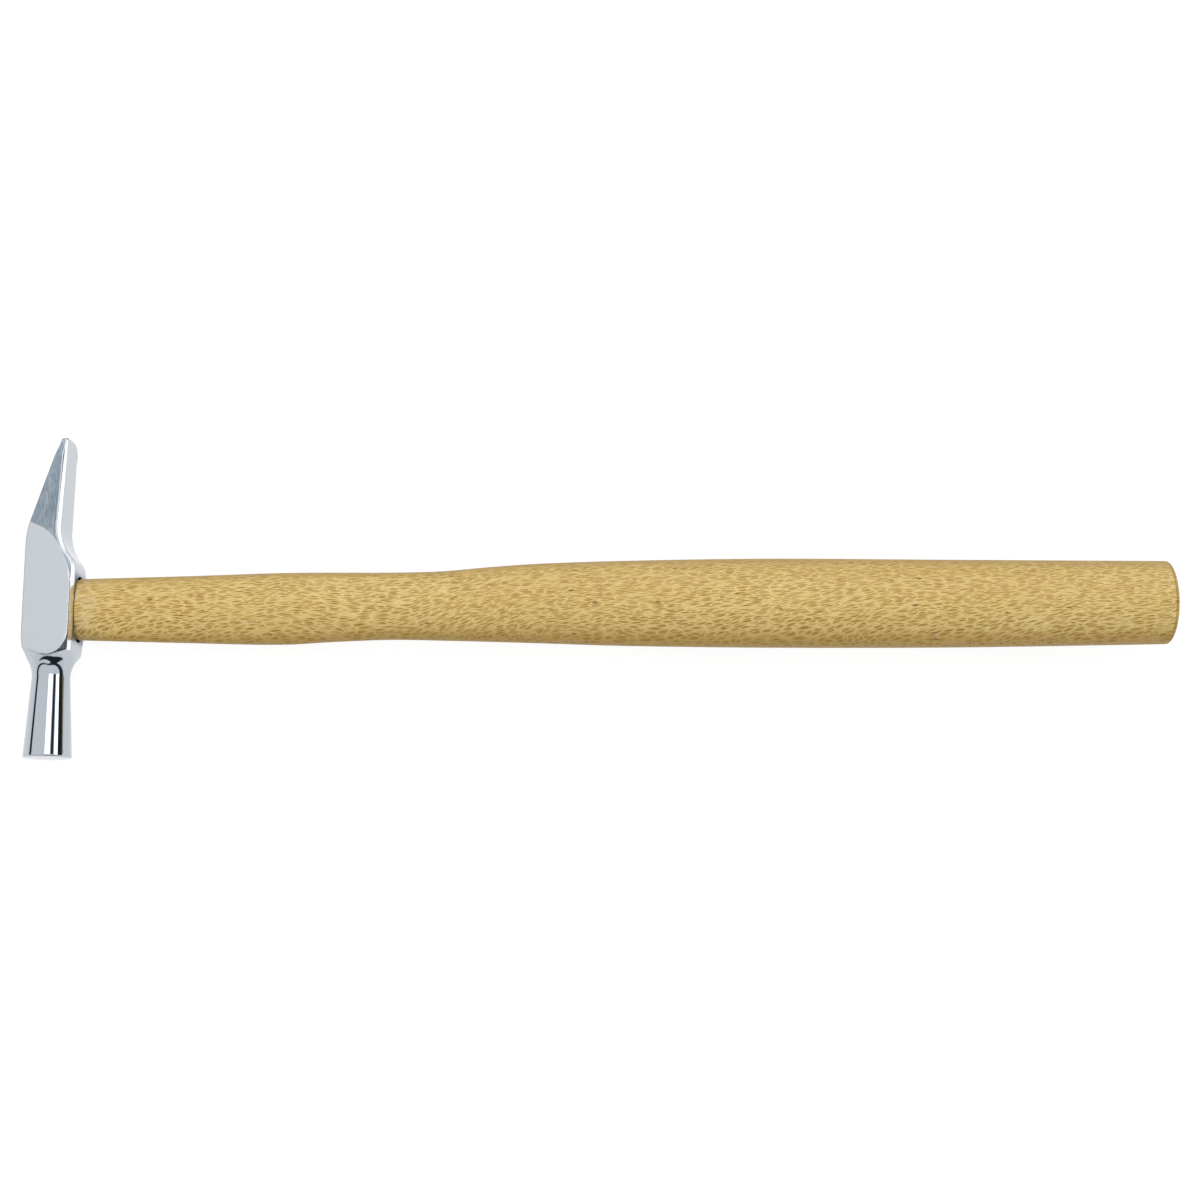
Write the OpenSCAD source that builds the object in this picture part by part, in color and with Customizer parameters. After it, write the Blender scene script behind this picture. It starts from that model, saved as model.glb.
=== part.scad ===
// Light cross-peen hammer: a polished steel head on a turned and shaved hardwood handle.
// Millimetres. The origin is the centre of the striking face. +X runs from the head to the
// butt of the handle, +Y from the striking face to the peen, and +Z up out of a cheek.

/* [Head block] */
// Thickness of the head, along the handle
head_t = 10.4; // [9:0.1:12.6]
// Width of the head across its cheeks
head_w = 11.1; // [9.4:0.1:13.6]
// Distance from the striking face to the centre of the eye
eye_from_face = 31.4; // [29:0.1:38]
// Length of the flat underside beyond the centre of the eye, before the throat
boss_reach = 7.6; // [7.2:0.1:9]
// Depth of the bevels on the long edges of the handle side
bevel_d = 0.7; // [0.2:0.05:1]
// Width of those bevels, measured across the head
bevel_w = 1.1; // [0.4:0.05:1.6]
// Chamfer on the outer long edges
edge_c = 0.3; // [0.1:0.05:0.6]

/* [Striking end] */
// Diameter of the striking face
face_d = 9.9; // [8.2:0.1:12]
// Diameter of the neck
neck_d = 7.8; // [6.4:0.1:9.4]
// Distance from the striking face to the narrowest part of the neck
cone_l = 17; // [14:0.1:20.4]
// Radius of the hollow shoulder between neck and block
shoulder_r = 6.3; // [5:0.1:7.5]
// Diameter of the flat middle of the striking face
flat_d = 6; // [4:0.1:7.2]
// Height of the crown around that flat
crown_h = 0.15; // [0.05:0.01:0.3]
// Rounding of the striking face's rim
rim_r = 0.4; // [0.2:0.05:0.8]

/* [Peen] */
// Distance from the centre of the eye to the peen's edge
peen_reach = 36.5; // [30.5:0.1:44]
// Thickness of the peen's edge
peen_edge_t = 1.3; // [0.8:0.1:2]
// Width of the peen at its edge
peen_edge_w = 9; // [7.6:0.1:11]
// Distance of the peen's underside from the head's axis, at the throat
peen_in = 1.8; // [1:0.05:2.4]
// How much further out that underside lies at the edge
peen_in_rise = 0.5; // [0:0.05:0.8]
// Radius of the hollow throat under the peen
throat_r = 10; // [6:0.1:12]
// Radius where the throat turns onto the boss
boss_r = 5.2; // [3:0.1:6.4]
// Radius that blends the outer face into the peen's slope
slope_r = 18; // [8:0.5:22]

/* [Eye and wedges] */
// Length of the eye, along the head
eye_l = 14; // [11.6:0.1:14.2]
// Width of the eye, across the head
eye_w = 7; // [5.8:0.1:8.4]
// Gap between the tenon and each end of the eye, at the handle side
tenon_gap = 0.7; // [0.2:0.05:0.9]
// Thickness of the wooden wedge at the outer face
wedge_t = 1.5; // [1:0.1:2]
// Thickness of the wooden wedge at its thin end
wedge_tip_t = 0.5; // [0.3:0.1:0.8]
// Depth of the wooden wedge
wedge_depth = 7.5; // [5:0.1:8.6]
// Width of the steel cross wedge
steel_w = 4.6; // [3.5:0.1:5]
// Thickness of the steel cross wedge at the outer face
steel_t = 1.1; // [0.8:0.1:1.4]
// Thickness of the steel cross wedge at its thin end
steel_tip_t = 0.3; // [0.2:0.05:0.6]
// Depth of the steel cross wedge
steel_depth = 5; // [4:0.1:6]

/* [Handle] */
// Length from the head's underside to the butt
handle_l = 229.4; // [192:0.1:276]
// Height of the handle where it meets the head
shoulder_h = 13; // [10.8:0.1:13.6]
// Depth of the handle where it meets the head
shoulder_t = 8.8; // [7.4:0.1:9.4]
// Height of the swell behind the head
swell_h = 15.2; // [13:0.1:18.2]
// Depth of the swell
swell_t = 12.4; // [10.4:0.1:14.8]
// Height of the waist
waist_h = 14.25; // [12:0.05:17]
// Depth of the waist
waist_t = 12; // [10:0.1:14.4]
// Height of the grip at the palm
grip_h = 18.85; // [15.8:0.05:22.6]
// Depth of the grip at the palm
grip_t = 17.2; // [14.4:0.1:20.6]
// Diameter of the butt
butt_d = 17.6; // [15:0.1:21]
// How far the grip's centre line lies towards the peen
grip_offset = 1.2; // [0:0.1:2]
// Rounding of the butt's edge
butt_r = 0.7; // [0.3:0.1:1.5]

/* [Hidden] */
eps = 0.5;                  // how far a cutter runs past the face that it cuts
round_n = 96;               // facets of the turned surfaces
arc_n = 8;                  // steps along each blend of the head's outline
oval_n = 40;                // sides of the handle's oval sections
ring_gap = 5;               // distance between the handle's sections
outer_x = -head_t / 2;      // outer face of the head
inner_x = head_t / 2;       // underside of the head, which the handle meets
neck_y = cone_l - eye_from_face;   // narrowest part of the neck, from the centre of the eye
corner_r = norm([head_t, head_w]) / 2 + 1;  // beyond the block's corners
peen_tip_in = peen_in + peen_in_rise;
peen_tip_out = peen_tip_in - peen_edge_t;

// The throat is two tangent arcs between the boss and the peen's underside.
throat_rise = inner_x - peen_in;
throat_a = acos(1 - throat_rise / (throat_r + boss_r));
throat_end = boss_reach + (throat_r + boss_r) * sin(throat_a);
// The slope starts where a line to the peen's edge leaves the outer face.
slope_start = throat_end - 1.6;
slope_a = atan2(peen_tip_out - outer_x, peen_reach - slope_start);
slope_tangent = slope_r * tan(slope_a / 2);

function mix(a, b, t) = a + (b - a) * t;

// Underside of the head at a distance y from the centre of the eye
function inner_at(y) =
    y <= boss_reach ? inner_x
    : y <= boss_reach + boss_r * sin(throat_a)
        ? inner_x - boss_r + sqrt(boss_r ^ 2 - (y - boss_reach) ^ 2)
    : y <= throat_end
        ? peen_in + throat_r - sqrt(throat_r ^ 2 - (throat_end - y) ^ 2)
    : mix(peen_in, peen_tip_in, (y - throat_end) / (peen_reach - throat_end));

// Outer face of the head at a distance y from the centre of the eye
function outer_at(y) =
    y <= slope_start - slope_tangent ? outer_x
    : y <= slope_start + slope_tangent * cos(slope_a)
        ? outer_x + slope_r - sqrt(slope_r ^ 2 - (y - slope_start + slope_tangent) ^ 2)
    : outer_x + (y - slope_start) * tan(slope_a);

// Half width of the head: parallel cheeks, then peen sides that close a little
function half_w_at(y) =
    y <= throat_end ? head_w / 2
    : mix(head_w, peen_edge_w, (y - throat_end) / (peen_reach - throat_end)) / 2;

// Section across the head at y, shrunk by s all round at the rounded edge of the peen
function head_section(y, s = 0) =
    let (xo = outer_at(y) + s, xi = inner_at(y) - s, w = half_w_at(y) - 2 * s,
         c = min(edge_c, (xi - xo) / 4), d = min(bevel_d, (xi - xo) / 2.5),
         b = w - d * bevel_w / bevel_d)
    [[xo, y, c - w], [xo, y, w - c], [xo + c, y, w], [xi - d, y, w],
     [xi, y, b], [xi, y, -b], [xi - d, y, -w], [xo + c, y, -w]];

function steps(a, b, n) = [for (i = [1:n]) mix(a, b, i / n)];

head_ys = concat([neck_y, boss_reach], steps(boss_reach, throat_end, 2 * arc_n),
    steps(throat_end, peen_reach - peen_edge_t / 2, arc_n));

// Skin over a list of rings that all have the same number of points
module loft(rings) {
    n = len(rings[0]);
    last = len(rings) - 1;
    polyhedron(
        points = [for (ring = rings) each ring],
        faces = concat(
            [[for (i = [0:n - 1]) i]],
            [for (k = [0:last - 1], i = [0:n - 1])
                [k * n + i, (k + 1) * n + i, (k + 1) * n + (i + 1) % n, k * n + (i + 1) % n]],
            [[for (i = [n - 1:-1:0]) last * n + i]]),
        convexity = 6);
}

// Turned solid whose outline is given as [radius, distance from the striking face]
module turned_on_y(outline) {
    rotate([-90, 0, 0]) rotate_extrude($fn = round_n) polygon(outline);
}

// Outline of the striking end: flat, crown, rounded rim, cone, neck and hollow shoulder
rim_top = face_d / 2 - rim_r;
shoulder_c = neck_d / 2 + shoulder_r;
shoulder_end = cone_l + sqrt(shoulder_r ^ 2 - (shoulder_c - corner_r) ^ 2);
end_outline = concat(
    [[0, 0], [flat_d / 2, 0]],
    [for (t = [0.25:0.25:1]) [mix(flat_d / 2, rim_top, t), crown_h * t ^ 2]],
    [for (a = [15:15:75]) [rim_top + rim_r * sin(a), crown_h + rim_r * (1 - cos(a))]],
    [[face_d / 2, crown_h + rim_r]],
    [for (i = [0:12])
        let (y = mix(cone_l, shoulder_end, i / 12))
        [shoulder_c - sqrt(shoulder_r ^ 2 - (y - cone_l) ^ 2), y]]);

module striking_end() {
    turned_on_y(concat(end_outline, [[0, shoulder_end]]));
}

// Everything that the shoulder leaves of the square block
module block_limit() {
    far = eye_from_face + peen_reach + eps;
    turned_on_y(concat(end_outline, [[corner_r, far], [0, far]]));
}

module block() {
    translate([0, eye_from_face, 0])
        loft(concat([for (y = head_ys) head_section(y)],
            [head_section(peen_reach, peen_edge_t / 4)]));
}

// Oval with straight sides, centred on the eye, lying across the X axis
module eye_slab(length, width, thickness) {
    rotate([0, 90, 0]) linear_extrude(thickness) {
        square([width, length - width], center = true);
        for (s = [-1, 1])
            translate([0, s * (length - width) / 2]) circle(d = width, $fn = oval_n);
    }
}

// Slim trapezium, thick at the outer face and thin inside the tenon
module wedge_outline(thick, thin, depth) {
    polygon([[outer_x, -thick / 2], [outer_x + depth, -thin / 2],
        [outer_x + depth, thin / 2], [outer_x, thick / 2]]);
}

wedge_l = eye_l - eye_w / 2;
module wood_wedge_body() {
    translate([0, eye_from_face + wedge_l / 2, 0]) rotate([90, 0, 0])
        linear_extrude(wedge_l) wedge_outline(wedge_t, wedge_tip_t, wedge_depth);
}

module steel_wedge_body() {
    translate([0, eye_from_face, -steel_w / 2])
        linear_extrude(steel_w) wedge_outline(steel_t, steel_tip_t, steel_depth);
}

module tenon() {
    tenon_l = eye_l - 2 * tenon_gap;
    skin = 0.1;
    translate([0, eye_from_face, 0]) hull() {
        translate([outer_x, 0, 0]) eye_slab(eye_l, eye_w, skin);
        translate([inner_x, 0, 0]) eye_slab(tenon_l, eye_w, skin);
    }
}

// Stations along the handle: [share of its length, height, depth, offset towards the peen]
handle_stations = [
    [0, shoulder_h, shoulder_t, 0],
    [0.1, mix(shoulder_h, swell_h, 0.54), mix(shoulder_t, swell_t, 0.58), 0],
    [0.185, swell_h, swell_t, 0.1 * grip_offset],
    [0.235, mix(waist_h, swell_h, 0.45), mix(waist_t, swell_t, 0.5), 0.38 * grip_offset],
    [0.285, waist_h, waist_t, 0.55 * grip_offset],
    [0.33, mix(waist_h, grip_h, 0.09), mix(waist_t, grip_t, 0.1), 0.58 * grip_offset],
    [0.375, mix(waist_h, grip_h, 0.34), mix(waist_t, grip_t, 0.32), 0.83 * grip_offset],
    [0.42, mix(waist_h, grip_h, 0.56), mix(waist_t, grip_t, 0.54), grip_offset],
    [0.5, mix(waist_h, grip_h, 0.82), mix(waist_t, grip_t, 0.8), grip_offset],
    [0.63, grip_h, grip_t, grip_offset],
    [0.8, mix(grip_h, butt_d, 0.22), mix(grip_t, butt_d, 0.5), 0.87 * grip_offset],
    [1, butt_d, butt_d, grip_offset]];

// Value k of the stations at share t, on a smooth curve through them
function slope_of(k, i) =
    let (s = handle_stations, a = max(i - 1, 0), b = min(i + 1, len(s) - 1))
    (s[b][k] - s[a][k]) / (s[b][0] - s[a][0]);
function span_of(t, i = 0) =
    i >= len(handle_stations) - 2 || t <= handle_stations[i + 1][0] ? i : span_of(t, i + 1);
function along(k, t) =
    let (i = span_of(t), s = handle_stations, w = s[i + 1][0] - s[i][0], u = (t - s[i][0]) / w)
    s[i][k] * (2 * u ^ 3 - 3 * u ^ 2 + 1) + s[i + 1][k] * (3 * u ^ 2 - 2 * u ^ 3)
    + w * slope_of(k, i) * (u ^ 3 - 2 * u ^ 2 + u) + w * slope_of(k, i + 1) * (u ^ 3 - u ^ 2);

// Oval ring at share t of the handle, drawn in by s
function oval_ring(t, s = 0) =
    [for (j = [0:oval_n - 1])
        let (a = 360 * j / oval_n)
        [inner_x + t * handle_l,
            eye_from_face + along(3, t) + (along(1, t) / 2 - s) * cos(a),
            (along(2, t) / 2 - s) * sin(a)]];

module shaft() {
    count = ceil(handle_l / ring_gap);
    edge = butt_r / handle_l;
    soft = 0.4 / handle_l;
    loft(concat(
        [oval_ring(0, 0.25), oval_ring(soft, 0)],
        [for (i = [1:count - 1]) oval_ring(i / count)],
        [for (a = [0:30:90]) oval_ring(1 - edge * (1 - sin(a)), butt_r * (1 - cos(a)))]));
}

// Sub-parts

module hammer_head() {
    color([0.74, 0.76, 0.79]) difference() {
        union() {
            intersection() {
                block();
                block_limit();
            }
            intersection() {
                striking_end();
                translate([0, (cone_l + eps) / 2, 0])
                    cube([2 * corner_r, cone_l + eps, 2 * corner_r], center = true);
            }
        }
        translate([outer_x - eps, eye_from_face, 0]) eye_slab(eye_l, eye_w, head_t + 2 * eps);
    }
}

module handle() {
    color([0.76, 0.62, 0.36]) difference() {
        union() {
            shaft();
            intersection() {
                tenon();
                translate([outer_x, 0, -eye_w]) cube([head_t + eps, 2 * eye_from_face, 2 * eye_w]);
            }
        }
        wood_wedge_body();
        steel_wedge_body();
    }
}

module eye_wedge() {
    color([0.62, 0.46, 0.26]) difference() {
        wood_wedge_body();
        steel_wedge_body();
    }
}

module cross_wedge() {
    color([0.45, 0.46, 0.48]) steel_wedge_body();
}

hammer_head();
handle();
eye_wedge();
cross_wedge();
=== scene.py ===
import math

import bpy
from mathutils import Matrix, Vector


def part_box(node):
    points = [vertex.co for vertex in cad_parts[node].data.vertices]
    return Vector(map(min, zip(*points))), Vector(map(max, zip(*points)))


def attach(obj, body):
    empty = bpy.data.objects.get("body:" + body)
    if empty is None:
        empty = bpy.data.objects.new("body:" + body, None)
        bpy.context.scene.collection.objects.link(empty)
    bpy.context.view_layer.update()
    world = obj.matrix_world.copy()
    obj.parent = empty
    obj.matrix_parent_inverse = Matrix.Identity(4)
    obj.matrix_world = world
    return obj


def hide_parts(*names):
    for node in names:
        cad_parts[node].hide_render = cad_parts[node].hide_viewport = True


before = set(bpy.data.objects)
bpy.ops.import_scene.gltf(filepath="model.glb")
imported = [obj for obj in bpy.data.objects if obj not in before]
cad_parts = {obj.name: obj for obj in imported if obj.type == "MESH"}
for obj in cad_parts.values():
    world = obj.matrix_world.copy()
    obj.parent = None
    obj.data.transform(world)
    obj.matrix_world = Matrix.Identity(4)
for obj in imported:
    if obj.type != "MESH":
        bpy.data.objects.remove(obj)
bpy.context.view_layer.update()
scene = bpy.context.scene
scene.view_settings.view_transform = "Standard"


# Camera. It hangs 39 cm above the handle, nearer the striking face than the peen, so the
# underside of the head and the rim of the butt both show a little.
mm = 0.001
wedge_low, wedge_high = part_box("eye_wedge")
eye_y = (wedge_low.y + wedge_high.y) / 2
camera_data = bpy.data.cameras.new("bench_camera")
camera_data.sensor_width = 36
camera_data.lens = 55.9
camera_data.clip_start = 0.01
camera = bpy.data.objects.new("bench_camera", camera_data)
scene.collection.objects.link(camera)
camera_place = Matrix.Translation((111.3 * mm, eye_y - 68 * mm, 386.7 * mm))
camera_turn = (Matrix.Rotation(math.radians(-0.5), 4, "Y")
               @ Matrix.Rotation(math.radians(10.25), 4, "X")
               @ Matrix.Rotation(math.radians(-0.17), 4, "Z"))
camera.matrix_world = camera_place @ camera_turn
scene.camera = camera


# Hammer head. One steel forging: a turned striking end, a flat-sided block with the eye
# through it, and a peen ground to a wedge on its outer side. The cheeks are satin, the
# peen's sides keep their grinding lines, and everything else is polished.
head_low, head_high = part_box("hammer_head")
outer_x = head_low.x
boss_x = -head_low.x
head_half_w = head_high.z
face_y = head_low.y - eye_y
peen_y = head_high.y - eye_y
boss_reach = 7.6 * mm            # flat underside, from the eye's centre
boss_r = 5.2 * mm                # where the throat turns onto the boss
throat_r = 10 * mm
peen_in = 1.8 * mm               # underside of the peen at the throat
peen_tip_in = 2.3 * mm           # and at the edge
peen_tip_out = 1.0 * mm
slope_r = 18 * mm                # blend from the outer face to the slope
outer_edge_r = 0.3 * mm
bevel_d = 0.7 * mm               # handle-side bevels: into the cheek, and across
bevel_w = 1.1 * mm
bevel_edge_r = 0.16 * mm
block_round_y = -5.8 * mm        # the block's faces begin to round towards the shoulder
block_round_l = 4.5 * mm
block_round_d = 0.45 * mm
neck_y = face_y + 17 * mm
neck_r = 3.9 * mm
face_r = 4.95 * mm
shoulder_r = 6.3 * mm
rim_r = 0.4 * mm
crown = 0.15 * mm
satin_middle = 4 * mm            # the satin patch on a cheek, from the eye's centre
satin_reach = 11.8 * mm
satin_half = 6.5 * mm
satin_widest_x = -2 * mm
satin_slant = 0.45
side_taper = 0.047               # how fast the peen's sides close beyond the satin
worn_start = (0.4 * mm, -4 * mm)  # the worn corner of a cheek, and how far it spreads
worn_reach = (4.1 * mm, 6 * mm)

throat_rise = boss_x - peen_in
throat_a = math.acos(1 - throat_rise / (throat_r + boss_r))
throat_end = boss_reach + (throat_r + boss_r) * math.sin(throat_a)
slope_start = throat_end - 1.6 * mm
slope_a = math.atan2(peen_tip_out - outer_x, peen_y - slope_start)
slope_tangent = slope_r * math.tan(slope_a / 2)


def blend(a, b, t):
    return a + (b - a) * t


def ease(t):
    t = min(max(t, 0), 1)
    return t * t * (3 - 2 * t)


def block_rounding(y):
    """How far the block's outer face draws in towards the shoulder."""
    return block_round_d * ease((block_round_y - y) / block_round_l)


def underside_at(y):
    """Handle side of the head, with y from the eye's centre."""
    if y <= boss_reach:
        return boss_x - 0.5 * block_rounding(y)
    if y <= boss_reach + boss_r * math.sin(throat_a):
        return boss_x - boss_r + math.sqrt(boss_r ** 2 - (y - boss_reach) ** 2)
    if y <= throat_end:
        return peen_in + throat_r - math.sqrt(throat_r ** 2 - (throat_end - y) ** 2)
    return blend(peen_in, peen_tip_in, (y - throat_end) / (peen_y - throat_end))


def outer_face_at(y):
    if y <= slope_start - slope_tangent:
        return outer_x + block_rounding(y)
    if y <= slope_start + slope_tangent * math.cos(slope_a):
        return outer_x + slope_r - math.sqrt(slope_r ** 2 - (y - slope_start + slope_tangent) ** 2)
    return outer_x + (y - slope_start) * math.tan(slope_a)


def satin_end(x):
    """Where the satin patch of a cheek ends and the side of the peen begins."""
    across = min(max(x - satin_widest_x, 0) / satin_half, 1)
    return satin_middle + (satin_reach - satin_slant * x) * math.sqrt(1 - across ** 2)


def worn_corner(x, y):
    """How far a cheek drops away at its corner between the shoulder and the handle."""
    across = max(x - worn_start[0], 0) / worn_reach[0]
    down = max(worn_start[1] - y, 0) / worn_reach[1]
    beyond = min(max(math.hypot(across, down) - 1, 0) * worn_reach[0] / mm, 2.2)
    return (0.3 * beyond + 0.06 * beyond ** 2) * mm


def cheek_at(x, y):
    """Half width of the head at a point of a cheek or of the side of the peen."""
    return head_half_w - side_taper * max(y - satin_end(x), 0) - worn_corner(x, y)


def soft_outline(corners):
    """Closed outline through corners given as x, z, radius, steps and spaces to the next."""
    outline = []
    for i, (x, z, radius, steps, spaces) in enumerate(corners):
        last_x, last_z = corners[i - 1][:2]
        next_x, next_z, next_radius = corners[(i + 1) % len(corners)][:3]
        to_last = math.hypot(last_x - x, last_z - z)
        to_next = math.hypot(next_x - x, next_z - z)
        start = (blend(x, last_x, radius / to_last), blend(z, last_z, radius / to_last))
        end = (blend(x, next_x, radius / to_next), blend(z, next_z, radius / to_next))
        for k in range(steps + 1):
            t = k / steps
            outline.append((blend(blend(start[0], x, t), blend(x, end[0], t), t),
                            blend(blend(start[1], z, t), blend(z, end[1], t), t)))
        stop = (blend(next_x, x, next_radius / to_next), blend(next_z, z, next_radius / to_next))
        for k in range(1, spaces):
            outline.append((blend(end[0], stop[0], k / spaces), blend(end[1], stop[1], k / spaces)))
    return outline


def head_section(y, inset=0):
    """Outline across the head at y, as (x, z) points round from the outer face's edge."""
    xo, xi = outer_face_at(y) + inset, underside_at(y) - inset
    w = head_half_w - inset
    size = min(1, (xi - xo) / (2.4 * mm))
    bevel_x, bevel_z = xi - bevel_d * size, w - bevel_w * size
    edge, soft = outer_edge_r * size, bevel_edge_r * size
    corners = [(xo, w, edge, 4, 26), (bevel_x, w, soft, 3, 3), (xi, bevel_z, soft, 3, 22),
               (xi, -bevel_z, soft, 3, 3), (bevel_x, -w, soft, 3, 26), (xo, -w, edge, 4, 22)]
    return [(x, z * cheek_at(x, y) / head_half_w) for x, z in soft_outline(corners)]


def shoulder_turn(radius):
    return math.acos((neck_r + shoulder_r - radius) / shoulder_r)


# The hollow shoulder meets the flat-sided block along a wavy line, so each lengthwise
# line of points has its own meeting place.
block_start = -8.2 * mm
meet = []
for column in range(len(head_section(0))):
    y = block_start
    for attempt in range(12):
        x, z = head_section(y)[column]
        y = min(neck_y + shoulder_r * math.sin(shoulder_turn(math.hypot(x, z))), block_start)
    meet.append((x, y, z))
heading = [math.atan2(z, x) for x, y, z in meet]
meet_turn = [shoulder_turn(math.hypot(x, z)) for x, y, z in meet]


def turned_row(radii, ys):
    return [(r * math.cos(a), y, r * math.sin(a)) for r, y, a in zip(radii, ys, heading)]


def round_row(radius, y):
    return turned_row([radius] * len(heading), [y] * len(heading))


rows = [round_row((face_r - rim_r) * t, face_y + crown * t * t) for t in (0.05, 0.25, 0.5, 0.75, 0.95)]
for k in range(7):
    turn = math.radians(15 * k)
    rows.append(round_row(face_r - rim_r + rim_r * math.sin(turn),
                          face_y + crown + rim_r * (1 - math.cos(turn))))
cone_start = face_y + crown + rim_r
for t in (0.03, 0.1, 0.25, 0.4, 0.55, 0.7, 0.85, 0.93, 0.98):
    rows.append(round_row(blend(face_r, neck_r, t), blend(cone_start, neck_y, t)))
for k in range(21):
    turns = [a * min(k / 20, 0.985) for a in meet_turn]
    rows.append(turned_row([neck_r + shoulder_r * (1 - math.cos(a)) for a in turns],
                           [neck_y + shoulder_r * math.sin(a) for a in turns]))
rows.append([(x * 0.994, y, z * 0.994) for x, y, z in meet])
for share in (0.05, 0.35, 0.7, 1):
    row = []
    for column, (x, y, z) in enumerate(meet):
        row_y = blend(y, block_start, share)
        section_x, section_z = head_section(row_y)[column]
        row.append((section_x, row_y, section_z))
    rows.append(row)
boss_steps = [blend(block_start, boss_reach, k / 36) for k in range(1, 36)]
throat_steps = [blend(boss_reach, throat_end, k / 30) for k in range(31)]
peen_steps = [blend(throat_end, peen_y - 0.6 * mm, k / 50) for k in range(1, 51)]
for y in boss_steps + throat_steps + peen_steps:
    rows.append([(x, y, z) for x, z in head_section(y)])
tip_r = 0.3 * mm
for k in range(5):
    turn = math.radians(22.5 * k)
    y = peen_y - tip_r * (1 - math.sin(turn))
    rows.append([(x, y, z) for x, z in head_section(y, tip_r * (1 - math.cos(turn)))])


def tip_drop(z):
    """How far the slightly crowned edge of the peen lies back, with its rounded corners."""
    corner, straight = (0.8 * mm, 3.6 * mm) if z > 0 else (2 * mm, 1.7 * mm)
    into = min(max(abs(z) - straight, 0), corner)
    return 0.25 * mm * (z / (4.5 * mm)) ** 2 + corner - math.sqrt(corner ** 2 - into ** 2)


tip_zone = 4.5 * mm
points = []
for row in rows:
    for x, y, z in row:
        pull = ease((y - peen_y + tip_zone) / tip_zone)
        points.append((x, y - pull * tip_drop(z) + eye_y, z))


def skin(columns, row_count):
    """Faces over rows of points, closed at both ends."""
    faces = [tuple(range(columns))]
    for r in range(row_count - 1):
        for c in range(columns):
            a, b = r * columns + c, r * columns + (c + 1) % columns
            faces.append((a, a + columns, b + columns, b))
    last = (row_count - 1) * columns
    return faces + [tuple(last + c for c in reversed(range(columns)))]


def new_piece(name, points, faces):
    data = bpy.data.meshes.new(name)
    data.from_pydata(points, [], faces)
    data.validate()
    data.polygons.foreach_set("use_smooth", [True] * len(data.polygons))
    piece = bpy.data.objects.new(name, data)
    scene.collection.objects.link(piece)
    return piece


def cut(piece, tool, solver):
    """Takes the tool's shape out of the piece for good. The cut is made in millimetres."""
    for shape in (piece.data, tool.data):
        shape.transform(Matrix.Scale(1 / mm, 4))
    trim = piece.modifiers.new("cut", "BOOLEAN")
    trim.object = tool
    trim.operation = "DIFFERENCE"
    trim.solver = solver
    cut_mesh = bpy.data.meshes.new_from_object(piece.evaluated_get(bpy.context.evaluated_depsgraph_get()))
    cut_mesh.transform(Matrix.Scale(mm, 4))
    piece.modifiers.clear()
    piece.data = cut_mesh
    bpy.data.objects.remove(tool)


def even_shading(piece, angle):
    piece.data.set_sharp_from_angle(angle=math.radians(angle))
    weigh = piece.modifiers.new("even_shading", "WEIGHTED_NORMAL")
    weigh.keep_sharp = True


hammer_head = new_piece("hammer_head_forging", points, skin(len(heading), len(rows)))

# The eye is filed through the block as a long round-ended slot.
eye_half_l = (wedge_high.y - wedge_low.y) / 2 + 1.75 * mm
eye_half_w = 3.5 * mm


def eye_outline(half_l, half_w, count):
    """Round-ended slot as (y, z) points, with y from the eye's centre."""
    outline = []
    for k in range(count):
        a = 2 * math.pi * (k + 0.5) / count
        shift = math.copysign(half_l - half_w, math.cos(a))
        outline.append((shift + half_w * math.cos(a), half_w * math.sin(a)))
    return outline


eye_points = [(x, y + eye_y, z) for x in (outer_x - mm, boss_x + mm)
              for y, z in eye_outline(eye_half_l, eye_half_w, 72)]
cut(hammer_head, new_piece("eye_cutter", eye_points, skin(72, 2)), "FAST")
even_shading(hammer_head, 38)


def calc(tree, operation, *values):
    """Math node whose inputs are plain numbers or the outputs of other nodes."""
    node = tree.nodes.new("ShaderNodeMath")
    node.operation = operation
    for socket, value in zip(node.inputs, values):
        if isinstance(value, (int, float)):
            socket.default_value = value
        else:
            tree.links.new(value, socket)
    return node.outputs[0]


def rise(tree, value, start, end):
    """0 before start and 1 after end, with a soft step between."""
    node = tree.nodes.new("ShaderNodeMapRange")
    node.interpolation_type = "SMOOTHSTEP"
    tree.links.new(value, node.inputs["Value"])
    node.inputs["From Min"].default_value = start
    node.inputs["From Max"].default_value = end
    return node.outputs[0]


def both(tree, first, second):
    return calc(tree, "MULTIPLY", first, second)


def other(tree, mask):
    return calc(tree, "SUBTRACT", 1, mask)


def tint(tree, mask, below, above):
    """Colour mixed by a mask; each end is a colour or the output of another node."""
    node = tree.nodes.new("ShaderNodeMix")
    node.data_type = "RGBA"
    tree.links.new(mask, node.inputs["Factor"])
    for socket, value in ((node.inputs[6], below), (node.inputs[7], above)):
        if isinstance(value, tuple):
            socket.default_value = (*value, 1)
        else:
            tree.links.new(value, socket)
    return node.outputs[2]


def bench_position(tree):
    """Place on the hammer in millimetres from the eye's centre: a vector and its parts."""
    place = tree.nodes.new("ShaderNodeTexCoord")
    to_mm = tree.nodes.new("ShaderNodeMapping")
    to_mm.inputs["Location"].default_value = (0, -eye_y / mm, 0)
    to_mm.inputs["Scale"].default_value = (1 / mm, 1 / mm, 1 / mm)
    tree.links.new(place.outputs["Object"], to_mm.inputs["Vector"])
    parts = tree.nodes.new("ShaderNodeSeparateXYZ")
    tree.links.new(to_mm.outputs[0], parts.inputs[0])
    return to_mm.outputs[0], parts.outputs[0], parts.outputs[1], parts.outputs[2]


def stretched(tree, vector, per_mm):
    node = tree.nodes.new("ShaderNodeMapping")
    node.inputs["Scale"].default_value = per_mm
    tree.links.new(vector, node.inputs["Vector"])
    return node.outputs[0]


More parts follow.
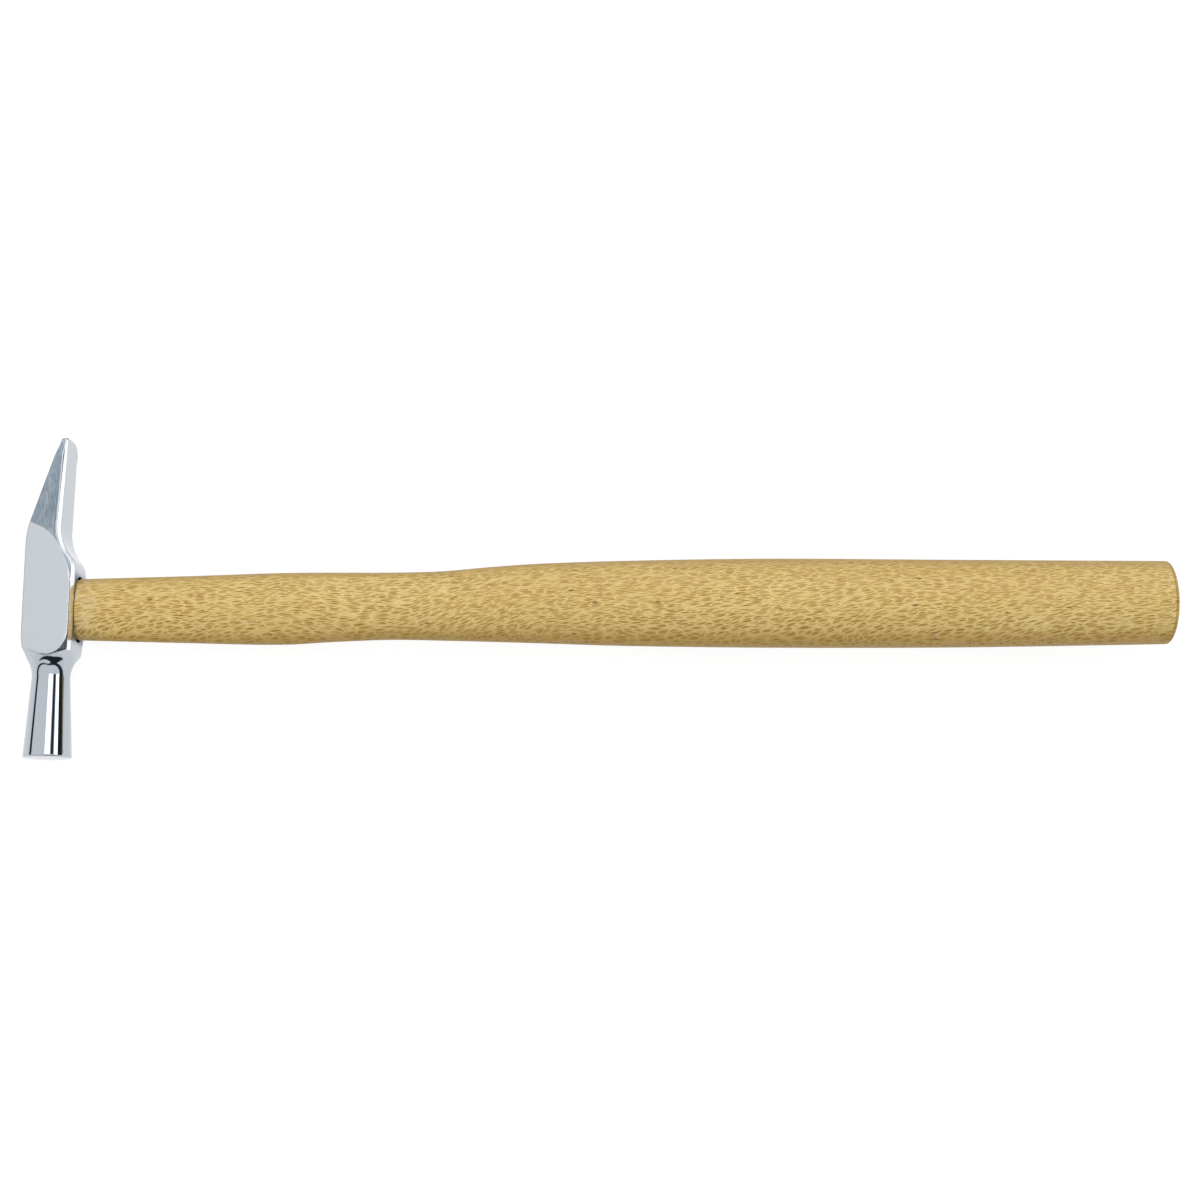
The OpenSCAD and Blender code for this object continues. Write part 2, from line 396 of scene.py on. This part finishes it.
def noise(tree, vector, scale=1, detail=3):
    node = tree.nodes.new("ShaderNodeTexNoise")
    node.inputs["Scale"].default_value = scale
    node.inputs["Detail"].default_value = detail
    tree.links.new(vector, node.inputs["Vector"])
    return node.outputs["Fac"]


def new_material(name):
    material = bpy.data.materials.new(name)
    material.use_nodes = True
    return material, material.node_tree, material.node_tree.nodes["Principled BSDF"]


def raise_bumps(tree, shader, height, strength, depth):
    bump = tree.nodes.new("ShaderNodeBump")
    bump.inputs["Strength"].default_value = strength
    bump.inputs["Distance"].default_value = depth
    tree.links.new(height, bump.inputs["Height"])
    tree.links.new(bump.outputs["Normal"], shader.inputs["Normal"])


# Lines that a grinding belt leaves in steel. The steel wedge has them too.
grind_lines = bpy.data.node_groups.new("grind_lines", "ShaderNodeTree")
grind_lines.interface.new_socket("Lines per mm", in_out="INPUT", socket_type="NodeSocketFloat")
grind_lines.interface.new_socket("Lines", in_out="OUTPUT", socket_type="NodeSocketFloat")
asked = grind_lines.nodes.new("NodeGroupInput")
given = grind_lines.nodes.new("NodeGroupOutput")
place = bench_position(grind_lines)[0]
streak = grind_lines.nodes.new("ShaderNodeTexNoise")
streak.inputs["Detail"].default_value = 3
grind_lines.links.new(stretched(grind_lines, place, (1, 0.06, 1)), streak.inputs["Vector"])
grind_lines.links.new(asked.outputs[0], streak.inputs["Scale"])
grind_lines.links.new(streak.outputs["Fac"], given.inputs[0])

head_steel, tree, steel = new_material("head_steel")
place, x, y, z = bench_position(tree)
surface = tree.nodes.new("ShaderNodeNewGeometry")
facing = tree.nodes.new("ShaderNodeSeparateXYZ")
tree.links.new(surface.outputs["Normal"], facing.inputs[0])
sideways = calc(tree, "ABSOLUTE", facing.outputs["Z"])
on_block = rise(tree, y, -10.7, -10.4)
on_side = both(tree, rise(tree, sideways, 0.93, 0.985), on_block)
across = calc(tree, "MULTIPLY_ADD", x, mm / satin_half, -satin_widest_x / satin_half)
across = calc(tree, "MINIMUM", calc(tree, "MAXIMUM", across, 0), 1)
arch = calc(tree, "SQRT", calc(tree, "SUBTRACT", 1, both(tree, across, across)))
slanted_reach = calc(tree, "MULTIPLY_ADD", x, -satin_slant, satin_reach / mm)
crease = calc(tree, "MULTIPLY_ADD", slanted_reach, arch, satin_middle / mm)
past_crease = rise(tree, calc(tree, "SUBTRACT", y, crease), -0.08, 0.12)
ground = both(tree, on_side, past_crease)
satin = both(tree, on_side, other(tree, past_crease))
# The handle-side bevels get a white base colour: a painted highlight standing in for the lamp strips'
# reflection in them.
painted_bevel_highlight = both(tree, both(tree, rise(tree, sideways, 0.42, 0.5), other(tree, rise(tree, sideways, 0.66, 0.76))),
             both(tree, rise(tree, facing.outputs["X"], 0.6, 0.7), rise(tree, y, -9.4, -9)))
lines = tree.nodes.new("ShaderNodeGroup")
lines.node_tree = grind_lines
lines.inputs[0].default_value = 7
streaks = rise(tree, lines.outputs[0], 0.3, 0.7)
broad_shade = rise(tree, noise(tree, stretched(tree, place, (0.5, 0.12, 0.5))), 0.35, 0.65)
dust = noise(tree, place, 9, 2)
brushed = tint(tree, streaks, (0.15, 0.19, 0.23), (0.25, 0.295, 0.34))
bright_lines = both(tree, broad_shade, calc(tree, "MULTIPLY", streaks, 0.8))
brushed = tint(tree, bright_lines, brushed, (0.36, 0.41, 0.46))
satin_grey = tint(tree, rise(tree, dust, 0.35, 0.65), (0.52, 0.555, 0.59), (0.58, 0.61, 0.645))
colour = tint(tree, satin, (0.48, 0.515, 0.56), satin_grey)
colour = tint(tree, ground, colour, brushed)
# Painted highlight on the bevels.
colour = tint(tree, painted_bevel_highlight, colour, (1.0, 1.0, 1.0))

# Forging scale stays in the worn corner of each cheek. A dark line along the bevel's rounded edge is painted
# shade.
worn_x = calc(tree, "MAXIMUM", calc(tree, "SUBTRACT", x, worn_start[0] / mm), 0)
worn_x = calc(tree, "MULTIPLY", worn_x, mm / worn_reach[0])
worn_y = calc(tree, "MAXIMUM", calc(tree, "SUBTRACT", worn_start[1] / mm, y), 0)
worn_y = calc(tree, "MULTIPLY", worn_y, mm / worn_reach[1])
worn =calc(tree, "SQRT", calc(tree, "MULTIPLY_ADD", worn_x, worn_x, both(tree, worn_y, worn_y)))
scale_left = both(tree, rise(tree, worn, 1.0, 1.04), both(tree, rise(tree, sideways, 0.76, 0.84), on_block))
scale_left = both(tree, scale_left, other(tree, rise(tree, y, -3, 1)))
mottle = rise(tree, noise(tree, place, 2.2, 4), 0.5, 0.66)
colour = tint(tree, scale_left, colour, tint(tree, mottle, (0.03, 0.045, 0.06), (0.36, 0.4, 0.44)))
# Painted shade: a thin dark line on the rounded edge between cheek and bevel.
painted_bevel_dark_line = both(tree, rise(tree, sideways, 0.7, 0.78), other(tree, rise(tree, sideways, 0.95, 0.99)))
painted_bevel_dark_line = both(tree, painted_bevel_dark_line, rise(tree, x, 2, 3))
painted_bevel_dark_line = both(tree, painted_bevel_dark_line, both(tree, on_block, rise(tree, y, 11, 7)))
colour =tint(tree, calc(tree, "MULTIPLY", painted_bevel_dark_line, 0.8), colour, (0.06, 0.08, 0.11))

# The flat round the handle is darkened as painted shade, standing in for the handle's dark reflection and
# shadow in it. The eye's walls are coloured near black.
from_middle = calc(tree, "ABSOLUTE", y)
in_eye = both(tree, rise(tree, from_middle, eye_half_l / mm + 0.2, eye_half_l / mm + 0.06),
              rise(tree, calc(tree, "ABSOLUTE", z), eye_half_w / mm + 0.2, eye_half_w / mm + 0.06))
in_eye =both(tree, in_eye, rise(tree, calc(tree, "ABSOLUTE", x), boss_x / mm - 0.02, boss_x / mm - 0.08))
painted_shade_by_handle = both(tree, rise(tree, facing.outputs["X"], 0.9, 0.97), rise(tree, from_middle, 8.2, 6.2))
# Painted shade on the flat beside the handle.
colour = tint(tree, calc(tree, "MULTIPLY", painted_shade_by_handle, 0.75), colour, (0.13, 0.17, 0.22))
colour = tint(tree, in_eye, colour, (0.02, 0.022, 0.026))
tree.links.new(colour, steel.inputs["Base Color"])
rough = calc(tree, "MULTIPLY_ADD", satin, 0.22, 0.06)
rough = calc(tree, "MULTIPLY_ADD", ground, 0.3, rough)
rough = calc(tree, "MULTIPLY_ADD", calc(tree, "MAXIMUM", in_eye, painted_shade_by_handle), 0.4, rough)
rough = calc(tree, "MULTIPLY_ADD", dust, 0.03, rough)
tree.links.new(rough, steel.inputs["Roughness"])
steel.inputs["Metallic"].default_value = 1
pits = calc(tree, "MULTIPLY", both(tree, scale_left, mottle), 3)
relief = calc(tree, "MULTIPLY_ADD", both(tree, ground, streaks), 0.5, pits)
relief = calc(tree, "MULTIPLY_ADD", both(tree, satin, dust), 0.35, relief)
raise_bumps(tree, steel, relief, 0.25, 0.02 * mm)

hammer_head.data.materials.clear()
hammer_head.data.materials.append(head_steel)
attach(hammer_head, "root")
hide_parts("hammer_head")


# Handle. One piece of fleck-figured hardwood, turned, then shaved to a swell behind the
# head, a slim waist and an oval grip. Its tenon goes through the eye. Satin lacquer.
handle_low, handle_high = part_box("handle")
handle_l = handle_high.x - boss_x
shoulder = (13, 8.8)             # height and depth of the section, in millimetres
swell = (15.2, 12.4)
waist = (14.25, 12)
grip = (18.85, 17.2)
butt = (17.6, 17.6)
grip_offset = 1.2
shoulder_edge_r = 0.25 * mm
butt_edge_r = 0.7 * mm
tenon_gap = 0.7 * mm             # room at each end of the eye on the handle's side


def station(share, a, b, height_mix, depth_mix, offset):
    """Share of the length, then height, depth and offset between two sections."""
    return (share, blend(a[0], b[0], height_mix), blend(a[1], b[1], depth_mix), offset)


stations = [
    station(0, shoulder, swell, 0, 0, 0),
    station(0.1, shoulder, swell, 0.54, 0.58, 0),
    station(0.185, shoulder, swell, 1, 1, 0.1 * grip_offset),
    station(0.235, waist, swell, 0.45, 0.5, 0.38 * grip_offset),
    station(0.285, waist, grip, 0, 0, 0.55 * grip_offset),
    station(0.33, waist, grip, 0.09, 0.1, 0.58 * grip_offset),
    station(0.375, waist, grip, 0.34, 0.32, 0.83 * grip_offset),
    station(0.42, waist, grip, 0.56, 0.54, grip_offset),
    station(0.5, waist, grip, 0.82, 0.8, grip_offset),
    station(0.63, waist, grip, 1, 1, grip_offset),
    station(0.8, grip, butt, 0.22, 0.5, 0.87 * grip_offset),
    station(1, grip, butt, 1, 1, grip_offset)]


def station_slope(k, i):
    before, after = stations[max(i - 1, 0)], stations[min(i + 1, len(stations) - 1)]
    return (after[k] - before[k]) / (after[0] - before[0])


def along(k, t):
    """Value k of the stations at share t, on a smooth curve through them."""
    i = 0
    while i < len(stations) - 2 and t > stations[i + 1][0]:
        i += 1
    gap = stations[i + 1][0] - stations[i][0]
    u = (t - stations[i][0]) / gap
    return (stations[i][k] * (2 * u ** 3 - 3 * u ** 2 + 1)
            + stations[i + 1][k] * (3 * u ** 2 - 2 * u ** 3)
            + gap * station_slope(k, i) * (u ** 3 - 2 * u ** 2 + u)
            + gap * station_slope(k, i + 1) * (u ** 3 - u ** 2)) * mm


def oval_row(x, inset=0):
    """Ring of the shaved handle at x, drawn in by inset."""
    t = (x - boss_x) / handle_l
    row = []
    for k in range(112):
        a = 2 * math.pi * (k + 0.5) / 112
        row.append((x, eye_y + along(3, t) + (along(1, t) / 2 - inset) * math.cos(a),
                    (along(2, t) / 2 - inset) * math.sin(a)))
    return row


def tenon_row(x, half_l):
    return [(x, y + eye_y, z) for y, z in eye_outline(half_l, eye_half_w - 0.01 * mm, 112)]


rows = [tenon_row(outer_x, eye_half_l - 0.1 * mm)]
for t in (0.01, 0.3, 0.6, 1):
    rows.append(tenon_row(blend(outer_x, boss_x, t), eye_half_l - 0.01 * mm - tenon_gap * t))
for k in range(5):
    turn = math.radians(22.5 * k)
    rows.append(oval_row(boss_x + shoulder_edge_r * (1 - math.cos(turn)),
                         shoulder_edge_r * (1 - math.sin(turn))))
rows += [oval_row(blend(boss_x + 0.8 * mm, handle_high.x - 1.4 * mm, k / 180)) for k in range(181)]
for k in range(6):
    turn = math.radians(18 * k)
    rows.append(oval_row(handle_high.x - butt_edge_r * (1 - math.sin(turn)),
                         butt_edge_r * (1 - math.cos(turn))))
handle = new_piece("handle_hardwood", [p for row in rows for p in row], skin(112, len(rows)))

# Each wedge has opened a slot of its own shape in the tenon, open at the tenon's end.
for wedge_name in ("eye_wedge", "cross_wedge"):
    wedge_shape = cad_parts[wedge_name].data.copy()
    for vertex in wedge_shape.vertices:
        if vertex.co.x < outer_x + 0.1 * mm:
            vertex.co.x -= 1 * mm
    slot_tool = bpy.data.objects.new("slot_cutter", wedge_shape)
    scene.collection.objects.link(slot_tool)
    cut(handle, slot_tool, "EXACT")
even_shading(handle, 40)

# Ray-fleck figure: the wood's rays are thin ribbons that show as short brown spindles where
# they are cut edge-on and as broad flakes on the sides. The wooden wedge has it too.
ray_fleck = bpy.data.node_groups.new("ray_fleck", "ShaderNodeTree")
for label in ("Ground", "Fleck", "Ray"):
    ray_fleck.interface.new_socket(label, in_out="INPUT", socket_type="NodeSocketColor")
ray_fleck.interface.new_socket("Color", in_out="OUTPUT", socket_type="NodeSocketColor")
ray_fleck.interface.new_socket("Height", in_out="OUTPUT", socket_type="NodeSocketFloat")
asked = ray_fleck.nodes.new("NodeGroupInput")
given = ray_fleck.nodes.new("NodeGroupOutput")
place, x, y, z = bench_position(ray_fleck)
wander = noise(ray_fleck, stretched(ray_fleck, place, (0.022, 0.03, 0.03)), 1, 1)
ripple = noise(ray_fleck, stretched(ray_fleck, place, (0.11, 0.12, 0.12)), 1, 1)
lift = calc(ray_fleck, "MULTIPLY_ADD", x, -0.1, y)
lift = calc(ray_fleck, "MULTIPLY_ADD", wander, 9, lift)
lift = calc(ray_fleck, "MULTIPLY_ADD", ripple, 1.2, lift)
lie = math.radians(20)           # the rays' lean towards the handle's lower side
lift_thin = calc(ray_fleck, "MULTIPLY", lift, math.cos(lie))
lift_wide = calc(ray_fleck, "MULTIPLY", lift, math.sin(lie))
thin_way = calc(ray_fleck, "MULTIPLY_ADD", z, -math.sin(lie), lift_thin)
wide_way = calc(ray_fleck, "MULTIPLY_ADD", z, math.cos(lie), lift_wide)
ray_size = (2.5, 0.27, 1.5)      # length, thickness and width of a ray, in millimetres
ribbons = ray_fleck.nodes.new("ShaderNodeCombineXYZ")
for socket, way, size in zip(ribbons.inputs, (x, thin_way, wide_way), ray_size):
    ray_fleck.links.new(calc(ray_fleck, "MULTIPLY", way, 1 / size), socket)
rim = ray_fleck.nodes.new("ShaderNodeTexVoronoi")
rim.feature = "DISTANCE_TO_EDGE"
rim.inputs["Scale"].default_value = 1
ray_fleck.links.new(ribbons.outputs[0], rim.inputs["Vector"])
ribbon = ray_fleck.nodes.new("ShaderNodeTexVoronoi")
ribbon.inputs["Scale"].default_value = 1
ray_fleck.links.new(ribbons.outputs[0], ribbon.inputs["Vector"])
each = ray_fleck.nodes.new("ShaderNodeSeparateColor")
ray_fleck.links.new(ribbon.outputs["Color"], each.inputs[0])
fibre = noise(ray_fleck, stretched(ray_fleck, place, (0.7, 7, 7)), 1, 3)
inside = rise(ray_fleck, calc(ray_fleck, "MULTIPLY_ADD", fibre, 0.3, ribbon.outputs["Distance"]), 0.78, 0.38)
depth = calc(ray_fleck, "MULTIPLY_ADD", each.outputs[0], 0.45, 0.55)
fleck_mask = both(ray_fleck, inside, depth)
ray_mask = rise(ray_fleck, calc(ray_fleck, "MULTIPLY_ADD", fibre, 0.2, rim.outputs["Distance"]), 0.28, 0.08)
ray_mask = calc(ray_fleck, "MULTIPLY", ray_mask, 0.8)
wood_colour = tint(ray_fleck, fleck_mask, asked.outputs["Ground"], asked.outputs["Fleck"])
wood_colour = tint(ray_fleck, ray_mask, wood_colour, asked.outputs["Ray"])
ray_fleck.links.new(wood_colour, given.inputs["Color"])
ray_fleck.links.new(calc(ray_fleck, "MULTIPLY_ADD", fibre, 0.4, other(ray_fleck, fleck_mask)),
                    given.inputs["Height"])

handle_wood, tree, lacquered = new_material("handle_wood")
figure = tree.nodes.new("ShaderNodeGroup")
figure.node_tree = ray_fleck
figure.inputs["Ground"].default_value = (0.49, 0.345, 0.108, 1)
figure.inputs["Fleck"].default_value = (0.27, 0.15, 0.02, 1)
figure.inputs["Ray"].default_value = (0.68, 0.53, 0.25, 1)
place, x, y, z = bench_position(tree)
tone = rise(tree, noise(tree, stretched(tree, place, (0.018, 0.12, 0.12)), 1, 2), 0.3, 0.7)
colour = tint(tree, calc(tree, "MULTIPLY", tone, 0.2), figure.outputs["Color"], (0.42, 0.26, 0.06))
surface = tree.nodes.new("ShaderNodeNewGeometry")
facing = tree.nodes.new("ShaderNodeSeparateXYZ")
tree.links.new(surface.outputs["Normal"], facing.inputs[0])
# The handle's upper and lower sides, picked by their normals, are darkened: partly the darker wood where it
# is cut along the rays, partly painted shade on those edges.
rays_cut_and_edge_shade = rise(tree, calc(tree, "ABSOLUTE", facing.outputs["Y"]), 0.6, 0.98)
colour = tint(tree, calc(tree, "MULTIPLY", rays_cut_and_edge_shade, 0.62), colour, (0.3, 0.17, 0.018))
pores = tree.nodes.new("ShaderNodeTexVoronoi")
pores.inputs["Scale"].default_value = 1
tree.links.new(stretched(tree, place, (0.14, 0.4, 0.4)), pores.inputs["Vector"])
pore = rise(tree, pores.outputs["Distance"], 0.1, 0.07)
colour = tint(tree, calc(tree, "MULTIPLY", pore, 0.75), colour, (0.12, 0.06, 0.02))
handling = both(tree, rise(tree, x, 13, 6), rise(tree, noise(tree, place, 0.5, 4), 0.42, 0.6))
colour = tint(tree, calc(tree, "MULTIPLY", handling, 0.35), colour, (0.42, 0.36, 0.25))
end_x = (handle_high.x - butt_edge_r) / mm
end_grain = rise(tree, x, end_x + 0.05, end_x + 0.3)
colour = tint(tree, calc(tree, "MULTIPLY", end_grain, 0.55), colour, (0.30, 0.17, 0.045))
# A thin dark line just inside the butt's rim is painted shade, where the rounded edge meets the end face.
painted_butt_rim_shade = both(tree, rise(tree, x, end_x - 0.2, end_x), rise(tree, x, end_x + 0.25, end_x + 0.05))
colour = tint(tree, calc(tree, "MULTIPLY", painted_butt_rim_shade, 0.6), colour, (0.16, 0.08, 0.025))
tree.links.new(colour, lacquered.inputs["Base Color"])
smear = noise(tree, stretched(tree, place, (0.05, 0.4, 0.4)), 1, 3)
tree.links.new(calc(tree, "MULTIPLY_ADD", smear, 0.2, 0.36), lacquered.inputs["Roughness"])
lacquered.inputs["Specular IOR Level"].default_value = 0.16
lacquered.inputs["Coat Weight"].default_value = 0.03
lacquered.inputs["Coat Roughness"].default_value = 0.35
raise_bumps(tree, lacquered, figure.outputs["Height"], 0.35, 0.04 * mm)

handle.data.materials.clear()
handle.data.materials.append(handle_wood)
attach(handle, "root")
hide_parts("handle")


# Wooden wedge. A thin slip of the same hardwood, left bare, driven into the tenon's kerf
# from the outer face of the head and cut off flush.
wedge_wood, tree, bare = new_material("wedge_wood")
figure = tree.nodes.new("ShaderNodeGroup")
figure.node_tree = ray_fleck
figure.inputs["Ground"].default_value = (0.42, 0.26, 0.10, 1)
figure.inputs["Fleck"].default_value = (0.24, 0.13, 0.045, 1)
figure.inputs["Ray"].default_value = (0.5, 0.34, 0.16, 1)
tree.links.new(figure.outputs["Color"], bare.inputs["Base Color"])
bare.inputs["Roughness"].default_value = 0.7
raise_bumps(tree, bare, figure.outputs["Height"], 0.5, 0.05 * mm)
wooden_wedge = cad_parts["eye_wedge"]
wooden_wedge.data.materials.clear()
wooden_wedge.data.materials.append(wedge_wood)


# Steel wedge. Cut from flat strip and driven across the wooden one to lock it, with its
# end ground flush.
wedge_steel, tree, dull = new_material("wedge_steel")
lines = tree.nodes.new("ShaderNodeGroup")
lines.node_tree = grind_lines
lines.inputs[0].default_value = 10
place = bench_position(tree)[0]
scale_marks = rise(tree, noise(tree, place, 1.4, 4), 0.5, 0.68)
colour = tint(tree, lines.outputs[0], (0.24, 0.25, 0.27), (0.44, 0.45, 0.47))
colour = tint(tree, calc(tree, "MULTIPLY", scale_marks, 0.5), colour, (0.14, 0.11, 0.09))
tree.links.new(colour, dull.inputs["Base Color"])
tree.links.new(calc(tree, "MULTIPLY_ADD", lines.outputs[0], 0.2, 0.3), dull.inputs["Roughness"])
dull.inputs["Metallic"].default_value = 1
raise_bumps(tree, dull, lines.outputs[0], 0.3, 0.03 * mm)
steel_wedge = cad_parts["cross_wedge"]
steel_wedge.data.materials.clear()
steel_wedge.data.materials.append(wedge_steel)


# Bench top: a white lit table that the hammer lies on. It leans by the small angle between
# the cheek and the belly of the grip, so that both touch it.
grip_belly = 145 * mm            # along the handle, from the eye
lean = math.atan2(head_low.z - handle_low.z, grip_belly)
reach = 6000 * mm
corners = [(-reach, -reach, 0), (reach, -reach, 0), (reach, reach, 0), (-reach, reach, 0)]
bench = new_piece("bench_top", corners, [(0, 1, 2, 3)])
bench.matrix_world = Matrix.Translation((0, 0, head_low.z)) @ Matrix.Rotation(lean, 4, "Y")
bench_white, tree, paint = new_material("bench_white")
paint.inputs["Base Color"].default_value = (0.14, 0.14, 0.14, 1)
paint.inputs["Roughness"].default_value = 1
paint.inputs["Specular IOR Level"].default_value = 0
seen = tree.nodes.new("ShaderNodeLightPath")
tree.links.new(tint(tree, seen.outputs["Is Diffuse Ray"], (1.0, 1.0, 1.0), (0.3, 0.3, 0.3)),
               paint.inputs["Emission Color"])
paint.inputs["Emission Strength"].default_value = 0.9
bench.data.materials.append(bench_white)


# Studio: a white tent round the bench. Two lamp strips hang over it and a lamp behind it, its
# front is open, and dark gaps run between its roof and its walls; the polished steel shows
# all of them. The wood and other matt surfaces are lit as if the front were white too.
lamp_level = 3.2
rear_lamp_level = 5.5
front_level = 1.05
tent =bpy.data.worlds.new("light_tent")
scene.world = tent
tent.use_nodes = True
tree = tent.node_tree
way = tree.nodes.new("ShaderNodeTexCoord")
parts = tree.nodes.new("ShaderNodeSeparateXYZ")
tree.links.new(way.outputs["Generated"], parts.inputs[0])
to_x, to_y, to_z = parts.outputs[0], parts.outputs[1], parts.outputs[2]
to_front = calc(tree, "MULTIPLY", to_y, -1)


def degrees(value):
    return calc(tree, "MULTIPLY", value, 180 / math.pi)


def between(value, start, end, fade):
    after_start = rise(tree, value, start - fade, start + fade)
    return both(tree, after_start, rise(tree, value, end + fade, end - fade))


up = degrees(calc(tree, "ARCSINE", to_z))
lengthwise = degrees(calc(tree, "ARCTAN2", to_x, to_z))
crosswise = degrees(calc(tree, "ARCTAN2", to_front, to_z))
round_front = degrees(calc(tree, "ARCTAN2", to_x, to_front))
level = calc(tree, "SQRT", calc(tree, "MULTIPLY_ADD", to_x, to_x, both(tree, to_y, to_y)))
frontness = calc(tree, "DIVIDE", calc(tree, "MAXIMUM", to_front, 0), calc(tree, "MAXIMUM", level, 0.001))
butt_side = rise(tree, to_x, -0.05, 0.05)
roof_edge = calc(tree, "MULTIPLY_ADD", calc(tree, "POWER", frontness, 1.5), 36, 25)
gap_size = calc(tree, "MULTIPLY_ADD", butt_side, 11, 13)
gap_size = calc(tree, "MULTIPLY_ADD", both(tree, gap_size, frontness), -0.6, gap_size)
wall_top = calc(tree, "SUBTRACT", roof_edge, gap_size)
over_wall = rise(tree, calc(tree, "SUBTRACT", up, wall_top), -1, 1)
under_roof = rise(tree, calc(tree, "SUBTRACT", up, roof_edge), 1, -1)
gap = both(tree, over_wall, under_roof)
sill = calc(tree, "MULTIPLY_ADD", rise(tree, round_front, 8, 42), -19, 23)
lintel = calc(tree, "MULTIPLY_ADD", round_front, 0.4, 45)
opening = both(tree, rise(tree, calc(tree, "SUBTRACT", up, sill), -2, 2),
               rise(tree, calc(tree, "SUBTRACT", up, lintel), 2, -2))
opening = both(tree, opening, both(tree, between(round_front, -52, 44, 3), under_roof))
over_bench = both(tree, rise(tree, crosswise, -1, -5), rise(tree, crosswise, -50, -46))
between_lamps = both(tree, between(lengthwise, 30, 44, 2), over_bench)
dark = calc(tree, "MAXIMUM", calc(tree, "MAXIMUM", gap, opening), between_lamps)
lamps = calc(tree, "MAXIMUM", between(lengthwise, 3, 26, 1), between(lengthwise, 48, 64, 1))
lamps = both(tree, lamps, over_bench)
rear_lamp = both(tree, between(crosswise, -64, -44, 7), between(lengthwise, -8, 48, 14))
light = tint(tree, lamps, (1.0, 1.0, 1.0), (lamp_level, lamp_level, lamp_level))
light = tint(tree, rear_lamp, light, (rear_lamp_level, rear_lamp_level, rear_lamp_level))
seen = tree.nodes.new("ShaderNodeLightPath")
lit_front = both(tree, seen.outputs["Is Diffuse Ray"], between(crosswise, 12, 66, 8))
light = tint(tree, dark, light, (0.02, 0.03, 0.04))
light = tint(tree, lit_front, light, (front_level, front_level, front_level))
light = tint(tree, seen.outputs["Is Camera Ray"], light, (0.98, 0.98, 0.98))
tree.links.new(light, tree.nodes["Background"].inputs["Color"])
tree.nodes["Background"].inputs["Strength"].default_value = 1
